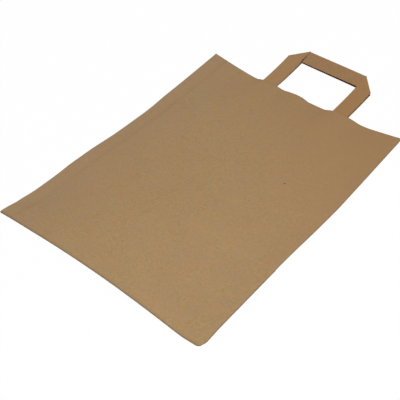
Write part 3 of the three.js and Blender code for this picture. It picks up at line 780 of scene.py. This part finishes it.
# %% A socket that can be used in sums
class Signal:
    """A shader value. Sums on signals add Math nodes."""

    def __init__(self, tree, socket):
        self.tree = tree
        self.socket = socket

    def combined(self, operation, first, second):
        """One Math node on two signals or numbers."""
        node = self.tree.nodes.new("ShaderNodeMath")
        node.operation = operation
        for place, value in enumerate((first, second)):
            if isinstance(value, Signal):
                self.tree.links.new(value.socket, node.inputs[place])
            else:
                node.inputs[place].default_value = value
        return Signal(self.tree, node.outputs[0])

    def __add__(self, other):
        return self.combined("ADD", self, other)

    __radd__ = __add__

    def __mul__(self, other):
        return self.combined("MULTIPLY", self, other)

    __rmul__ = __mul__

    def __sub__(self, other):
        return self.combined("SUBTRACT", self, other)

    def __rsub__(self, other):
        return self.combined("SUBTRACT", other, self)


print("a shader sum is now written as in 1 - mask * 0.5")

# %% [markdown]
# Every other node comes from one method, which sets a node's own settings first and then
# its sockets. The short methods after it are the few patterns that this paper needs.

# %% Nodes of a material
class Finish:
    """The nodes of a material or of the world, made by one method."""

    def __init__(self, owner):
        owner.use_nodes = True
        self.tree = owner.node_tree
        self.tree.nodes.clear()

    def node(self, kind, output=0, settings=None, numbered=None, **named):
        """Makes a node. Its settings come first, then its inputs by number or by name."""
        made = self.tree.nodes.new(kind)
        for name, value in (settings or {}).items():
            setattr(made, name, value)
        sockets = dict(numbered or {})
        sockets.update((name.replace("_", " "), value) for name, value in named.items())
        for place, value in sockets.items():
            socket = made.inputs[place]
            if isinstance(value, Signal):
                self.tree.links.new(value.socket, socket)
            else:
                socket.default_value = value
        return Signal(self.tree, made.outputs[output] if made.outputs else None)

    def output(self, first, name):
        """Another output of the node that a signal comes from."""
        return Signal(self.tree, first.socket.node.outputs[name])

    def seen(self):
        """1 for what the camera sees, also in a shine or through a clear thing."""
        camera = self.node("ShaderNodeLightPath", "Is Camera Ray")
        glossy = self.output(camera, "Is Glossy Ray")
        return camera + glossy + self.output(camera, "Is Transmission Ray")

    def place(self):
        """Object coordinates."""
        return self.node("ShaderNodeTexCoord", "Object")

    def across_and_along(self):
        """Object coordinates as two numbers, x and y."""
        x = self.node("ShaderNodeSeparateXYZ", "X", Vector=self.place())
        return x, self.output(x, "Y")

    def stretched(self, scale):
        """Object coordinates, scaled along each axis."""
        return self.node("ShaderNodeVectorMath", settings={"operation": "MULTIPLY"},
                         numbered={0: self.place(), 1: scale})

    def cloud(self, vector, scale, detail, roughness):
        """Noise from 0 to 1, with 0.5 as its mean."""
        return self.node("ShaderNodeTexNoise", "Fac", Vector=vector, Scale=scale,
                         Detail=detail, Roughness=roughness)

    def band(self, value, low, high):
        """0 below low, 1 above high and a smooth step between."""
        return self.node("ShaderNodeMapRange", settings={"interpolation_type": "SMOOTHSTEP"},
                         Value=value, From_Min=low, From_Max=high)

    def line(self, value, middle, width):
        """1 where the value is at the middle, and 0 a width away from it."""
        away = self.node("ShaderNodeMath", settings={"operation": "ABSOLUTE"},
                         Value=value - middle)
        return 1 - self.band(away, 0, width)

    def mixed(self, share, first, second):
        """The first colour, mixed with a share of the second."""
        return self.node("ShaderNodeMix", 2, settings={"data_type": "RGBA"},
                         numbered={0: share, 6: first, 7: second})


print("patterns:", [name for name in vars(Finish) if not name.startswith("_")])

# %% [markdown]
# The colours are written as they look on a screen and turned into the linear values that
# a shader wants. The handles are of a darker and redder paper than the bag.

# %% Colours
def linear(red, green, blue):
    """A screen colour of 0 to 255 as linear values."""
    def one(value):
        """One channel, by the usual screen curve."""
        share = value / 255
        return share / 12.92 if share <= 0.04045 else ((share + 0.055) / 1.055) ** 2.4
    return (one(red), one(green), one(blue), 1)


KRAFT = {
    "light": linear(167.5, 140, 98), "dark": linear(151.5, 123.5, 83),
    "pink": linear(166.5, 129, 90.5), "fibre": linear(180, 150, 113),
    "cool": linear(157, 130, 105),
}
TAPE_KRAFT = {
    "light": linear(159.5, 125.5, 84.5), "dark": linear(144, 111, 72.5),
    "pink": linear(155, 116, 79), "fibre": linear(176, 145, 107),
    "cool": linear(150, 117, 96),
}
WARM = linear(155.5, 120, 82)
COOL = linear(156, 127, 104)
BARK = linear(66, 48, 33)
SHADE = linear(70, 40, 36)
# The next colour darkens the bag's outer edges: partly dirt, partly painted shade where the
# paper turns down.
EDGE_DIRT_AND_SHADE = linear(112, 92, 80)
PALE_TAPE = linear(165, 129.5, 89.5)
RED_TAPE = linear(158.5, 119.5, 75.5)
print("light kraft in linear values", [round(value, 3) for value in KRAFT["light"][:3]])

# %% [markdown]
# One recipe serves every piece. Wide clouds, a mottle and fine specks set the tone,
# patches of a pinker and of a cooler hue lie over it, and long fibres stand out pale. An
# image of real paper would look as good, but noise needs no file and never repeats. Its
# scales are in waves per metre.

# %% Kraft paper
CLOUD_SCALE, MOTTLE_SCALE, SPECK_SCALE = 26, 240, 520
CLOUD_PART, MOTTLE_PART, SPECK_PART = 0.12, 0.28, 0.6
PINK_SCALE, COOL_SCALE = 130, 95
PINK_SHARE, COOL_SHARE, FIBRE_SHARE = 0.45, 0.25, 0.55
FIBRE_SCALE, GRAIN_SCALE, CRUMPLE_SCALE = 900, 1500, 34
FIBRE_STRETCH = (1, 0.16, 1)
GRAIN_PART = 0.5
GRAIN_RELIEF, CRUMPLE_RELIEF = 0.06 * MM, 0.9 * MM
SMOOTHEST, ROUGHER = 0.80, 0.12


def kraft(name, tones, marks=None):
    """Brown kraft paper between a light and a dark tone. marks adds a piece's own lines."""
    material = bpy.data.materials.new(name)
    finish = Finish(material)
    even = finish.place()
    along = finish.stretched(FIBRE_STRETCH)
    clouds = finish.cloud(even, CLOUD_SCALE, 3, 0.55)
    mottle = finish.cloud(even, MOTTLE_SCALE, 3, 0.65)
    specks = finish.cloud(even, SPECK_SCALE, 2, 0.7)
    speckled = clouds * CLOUD_PART + mottle * MOTTLE_PART + specks * SPECK_PART
    tone = finish.band(speckled, 0.34, 0.66)
    ground = finish.mixed(tone, tones["dark"], tones["light"])
    pink = finish.band(finish.cloud(even, PINK_SCALE, 2, 0.5), 0.38, 0.62)
    ground = finish.mixed(pink * PINK_SHARE, ground, tones["pink"])
    cool = finish.band(finish.cloud(even, COOL_SCALE, 2, 0.5), 0.42, 0.60)
    ground = finish.mixed(cool * COOL_SHARE, ground, tones["cool"])
    fibres = finish.band(finish.cloud(along, FIBRE_SCALE, 3, 0.7), 0.58, 0.76)
    colour = finish.mixed(fibres * FIBRE_SHARE, ground, tones["fibre"])
    if marks:
        colour = marks(finish, colour)
    grain = (finish.cloud(along, GRAIN_SCALE, 2, 0.6) * GRAIN_PART
             + mottle * (1 - GRAIN_PART))
    crumple = finish.cloud(even, CRUMPLE_SCALE, 2, 0.45)
    fine = finish.node("ShaderNodeBump", Strength=0.35, Distance=GRAIN_RELIEF, Height=grain)
    relief = finish.node("ShaderNodeBump", Strength=0.25, Distance=CRUMPLE_RELIEF,
                         Height=crumple, Normal=fine)
    shader = finish.node("ShaderNodeBsdfPrincipled", Base_Color=colour, Normal=relief,
                         Roughness=SMOOTHEST + ROUGHER * mottle, Specular_IOR_Level=0.25)
    finish.node("ShaderNodeOutputMaterial", Surface=shader)
    return material


# %% [markdown]
# Some marks belong to the bag alone: a warmer tone towards the right side of the mouth, a
# cooler one along the left side, a darker band along the outer edges that is partly dirt and
# partly painted shade where the paper turns down, a painted highlight on the ridge over the
# folded bottom's edge, the glued side seam, and one small fleck of bark. All follow Object
# coordinates, so they stay in place on the paper from any side.

# %% Marks of the bag
LINE = 0.5 * MM
SEAM_X = -WIDTH / 2 + SEAM_LAP
SEAM_SHARE, SEAM_SHADE_SHARE, SEAM_SHADE_WIDTH = 0.4, 0.25, 12 * LINE
# The line at CREASE_Y is a painted highlight on the ridge over the folded bottom's edge.
CREASE_Y, RIDGE_HIGHLIGHT_SHARE = BOTTOM_Y + GUSSET_DEPTH, 0.12
# The next share sets how dark the outer edges are: partly dirt, partly painted shade.
EDGE_DIRT_AND_SHADE_SHARE = 0.35
WARM_FROM, WARM_TO, WARM_SHARE = -50 * MM, 250 * MM, 0.75
COOL_FROM, COOL_TO, COOL_SIDE_SHARE = 50 * MM, WIDTH / 2, 0.3
FLECK_X, FLECK_Y = 66.5 * MM, BOTTOM_Y + 217.0 * MM


def bag_marks(finish, colour):
    """Tones, seam, fleck, dirt and painted shade at the edges, and a painted highlight."""
    x, y = finish.across_and_along()
    fleck = finish.line(x, FLECK_X, 3 * LINE) * finish.line(y, FLECK_Y, 3 * LINE)
    # Partly dirt and partly painted shade along the four outer edges, where the paper turns
    # down.
    edges = (finish.line(x, -WIDTH / 2, 3 * LINE) + finish.line(x, WIDTH / 2, 3 * LINE)
             + finish.line(y, MOUTH_Y, 2 * LINE) + finish.line(y, BOTTOM_Y, 3 * LINE))
    seam = (finish.line(x, SEAM_X, LINE) * SEAM_SHARE
            + finish.line(x, SEAM_X, SEAM_SHADE_WIDTH) * SEAM_SHADE_SHARE)
    # A painted highlight on the ridge over the folded bottom's edge, in the pale fibre colour.
    ridge_highlight = finish.line(y, CREASE_Y, 3 * LINE) * RIDGE_HIGHLIGHT_SHARE
    left_side = finish.band(x * -1, COOL_FROM, COOL_TO) * COOL_SIDE_SHARE
    towards_mouth = finish.band(x + y, WARM_FROM, WARM_TO) * WARM_SHARE
    warmed = finish.mixed(towards_mouth, colour, WARM)
    cooled = finish.mixed(left_side, warmed, COOL)
    dirt_and_shade_edged = finish.mixed(edges * EDGE_DIRT_AND_SHADE_SHARE, cooled, EDGE_DIRT_AND_SHADE)
    ridge_highlighted = finish.mixed(ridge_highlight, dirt_and_shade_edged, KRAFT["fibre"])
    marked = finish.mixed(seam, ridge_highlighted, KRAFT["dark"])
    return finish.mixed(fleck, marked, BARK)


print("side seam at x", round(SEAM_X / MM, 1), "and crease at y", round(CREASE_Y / MM, 1))

# %% [markdown]
# The handles' marks are shade in two gaps too narrow for the soft lamps to darken: beside
# the left leg, where it stands off the bar, and between the two bars. Their legs also
# differ a little in colour.

# %% Marks of the handles
BAR_EDGE = MOUTH_Y + HANDLE_REACH
LEG_TONE_FROM, LEG_TONE_TO, LEG_TONE_SHARE = 30 * MM, 45 * MM, 0.6
BESIDE_LEG, BESIDE_WIDTH, BESIDE_SHARE = 0.4 * MM, 1.4 * MM, 0.8
BELOW_BAR = 1.5 * MM
UNDER_BAR, UNDER_WIDTH, UNDER_SHARE = 0.5 * MM, 5 * MM, 0.95
UNDER_FROM, UNDER_TO = LEFT_LEG_EDGE - 2 * MM, LEFT_LEG_EDGE + 4 * MM


def leg_tones(finish, x, colour):
    """The left leg is a little paler than the bar, and the right one a little redder."""
    left = 1 - finish.band(x, -LEG_TONE_TO, -LEG_TONE_FROM)
    right = finish.band(x, LEG_TONE_FROM, LEG_TONE_TO)
    paled = finish.mixed(left * LEG_TONE_SHARE, colour, PALE_TAPE)
    return finish.mixed(right * LEG_TONE_SHARE, paled, RED_TAPE)


def upper_tape_marks(finish, colour):
    """Shade on the bar, where the left leg's inner edge stands off it."""
    x, y = finish.across_and_along()
    colour = leg_tones(finish, x, colour)
    beside = finish.line(x, LEFT_LEG_EDGE + BESIDE_LEG, BESIDE_WIDTH)
    fading = 1 - finish.band(y, BAR_EDGE, BAR_EDGE + TAPE_WIDTH)
    up = fading * finish.band(y, BAR_EDGE - BELOW_BAR, BAR_EDGE)
    return finish.mixed(beside * up * BESIDE_SHARE, colour, SHADE)


def lower_tape_marks(finish, colour):
    """Shade along the lower bar, where the upper one lies close over it."""
    x, y = finish.across_and_along()
    colour = leg_tones(finish, x, colour)
    under = finish.line(y, BAR_EDGE + UNDER_BAR, UNDER_WIDTH)
    along = finish.band(x, UNDER_FROM, UNDER_TO)
    return finish.mixed(under * along * UNDER_SHARE, colour, SHADE)


print("bars' shade starts at y", round(BAR_EDGE / MM, 1), "mm")

# %% [markdown]
# Each piece gets its own material, even where two of them look alike. The bag and the handles
# add marks of their own.

# %% Dress the pieces
for piece, material in (
        (bag_paper, kraft("bag kraft", KRAFT, bag_marks)),
        (upper_patch, kraft("upper patch kraft", KRAFT)),
        (lower_patch, kraft("lower patch kraft", KRAFT)),
        (upper_tape, kraft("upper handle kraft", TAPE_KRAFT, upper_tape_marks)),
        (lower_tape, kraft("lower handle kraft", TAPE_KRAFT, lower_tape_marks))):
    piece.data.materials.clear()
    piece.data.materials.append(material)
    print(piece.name, "is of", material.name)

# %% [markdown]
# The photograph has a plain white ground, so the floor shows white to the camera and
# keeps only a trace of shadow. Light Path does that: more light would bleach the paper.

# %% Floor
FLOOR_SIZE = 3.0
FLOOR_BELOW = 0.1 * MM
FLOOR_GREY = 0.8
SHOWN_WHITE = 0.985

ground = bmesh.new()
bmesh.ops.create_grid(ground, x_segments=1, y_segments=1, size=FLOOR_SIZE)
floor_mesh = bpy.data.meshes.new("floor")
ground.to_mesh(floor_mesh)
ground.free()
floor = bpy.data.objects.new("floor", floor_mesh)
floor.location.z = -FLOOR_BELOW
bpy.context.scene.collection.objects.link(floor)

white_table = bpy.data.materials.new("white table")
white = Finish(white_table)
seen = white.seen()
table_top = white.node("ShaderNodeBsdfDiffuse", Color=(FLOOR_GREY,) * 3 + (1,))
glow = white.node("ShaderNodeEmission", Color=(1, 1, 1, 1), Strength=1.0)
shown = white.node("ShaderNodeMixShader",
                   numbered={0: seen * SHOWN_WHITE, 1: table_top, 2: glow})
white.node("ShaderNodeOutputMaterial", Surface=shown)
floor_mesh.materials.append(white_table)
print("floor is", 2 * FLOOR_SIZE, "m wide")

# %% [markdown]
# The light is soft and comes mostly from above, so the bag has hardly a shadow. One large
# lamp in front on the right shapes the folds, a still larger one above fills them, and a
# weak white world keeps the gaps from going black.

# %% Lamps
WORLD_LEVEL = 0.2


def lamp(name, place, aim, size, power):
    """A square soft lamp that points at a spot."""
    towards = (Vector(aim) - Vector(place)).to_track_quat("-Z", "Y")
    data = bpy.data.lights.new(name, "AREA")
    data.shape = "SQUARE"
    data.size = size
    data.energy = power
    lit = bpy.data.objects.new(name, data)
    lit.matrix_world = Matrix.Translation(place) @ towards.to_matrix().to_4x4()
    bpy.context.scene.collection.objects.link(lit)
    print(name, "lamp gives", power, "W")


lamp("key", place=(0.45, -0.35, 0.85), aim=(0, -0.05, 0), size=0.7, power=6.2)
lamp("fill", place=(-0.1, 0.1, 1.6), aim=(0, 0, 0), size=1.6, power=11)

world = bpy.data.worlds.new("studio")
bpy.context.scene.world = world
sky = Finish(world)
level = sky.seen() * (1 - WORLD_LEVEL) + WORLD_LEVEL
backdrop = sky.node("ShaderNodeBackground", Color=(1, 1, 1, 1), Strength=level)
sky.node("ShaderNodeOutputWorld", Surface=backdrop)
bpy.context.scene.view_settings.view_transform = "Standard"

# %% [markdown]
